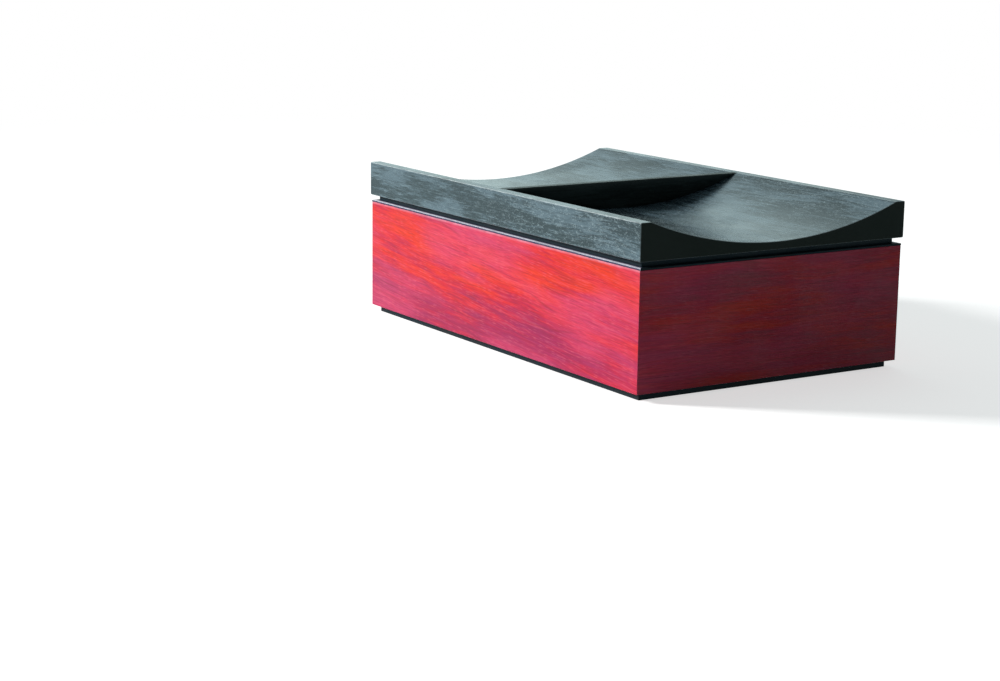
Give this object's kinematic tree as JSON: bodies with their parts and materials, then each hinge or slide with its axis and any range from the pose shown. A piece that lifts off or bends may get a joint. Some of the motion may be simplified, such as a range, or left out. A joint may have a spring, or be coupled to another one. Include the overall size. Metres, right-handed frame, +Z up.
{
  "type": "jewel box",
  "caption": "Rectangular wooden jewel box with red sides, recessed plinth, shadow gap, coved black lift-off lid with a grip rib across it, and a divided lift-out tray.",
  "frame": {"origin": "middle of the plinth's underside, on the surface that the box stands on", "axes": "+X along the box's length, -Y to the front long side, +Z up"},
  "size_m": [0.281, 0.1756, 0.092],
  "materials": {
    "red_wood": "oiled satin, red hardwood",
    "black_wood": "oiled satin, open-pored black wood",
    "panel_board": "dark veneered board",
    "suede": "charcoal suede"
  },
  "bodies": {
    "body": {"front_side": "red_wood", "back_side": "red_wood", "left_end": "red_wood", "right_end": "red_wood", "tongue_front_right": "black_wood", "tongue_back_right": "black_wood", "tongue_back_left": "black_wood", "tongue_front_left": "black_wood", "bottom_panel": "panel_board", "floor_pad": "suede", "plinth_front": "black_wood", "plinth_back": "black_wood", "plinth_left": "black_wood", "plinth_right": "black_wood", "rim_front": "black_wood", "rim_back": "black_wood", "rim_left": "black_wood", "rim_right": "black_wood", "runner_front": "black_wood", "runner_back": "black_wood"},
    "lid": {"lid_board": "black_wood", "grip_rib": "black_wood", "gap_board": "black_wood", "lip_front": "black_wood", "lip_back": "black_wood", "lip_left": "black_wood", "lip_right": "black_wood", "lid_pad": "suede"},
    "tray": {"tray_front": "red_wood", "tray_back": "red_wood", "tray_left": "red_wood", "tray_right": "red_wood", "tray_base": "panel_board", "ring_partition": "red_wood", "cross_divider_1": "red_wood", "cross_divider_2": "red_wood", "long_divider_1": "red_wood", "cell_pad_1": "suede", "cell_pad_2": "suede", "cell_pad_3": "suede", "cell_pad_4": "suede", "cell_pad_5": "suede", "cell_pad_6": "suede", "ring_roll_1": "suede", "ring_roll_2": "suede", "ring_roll_3": "suede", "ring_roll_4": "suede"}
  },
  "joints": [
    {"name": "lid_lift", "type": "slide", "parent": "body", "child": "lid", "axis": [0, 0, 1], "range_m": [0, 0.15]},
    {"name": "tray_lift", "type": "slide", "parent": "body", "child": "tray", "axis": [0, 0, 1], "range_m": [0, 0.06]}
  ],
  "couplings": [
    {"joint": "tray_lift", "follows": "lid_lift", "ratio": 0.4}
  ]
}
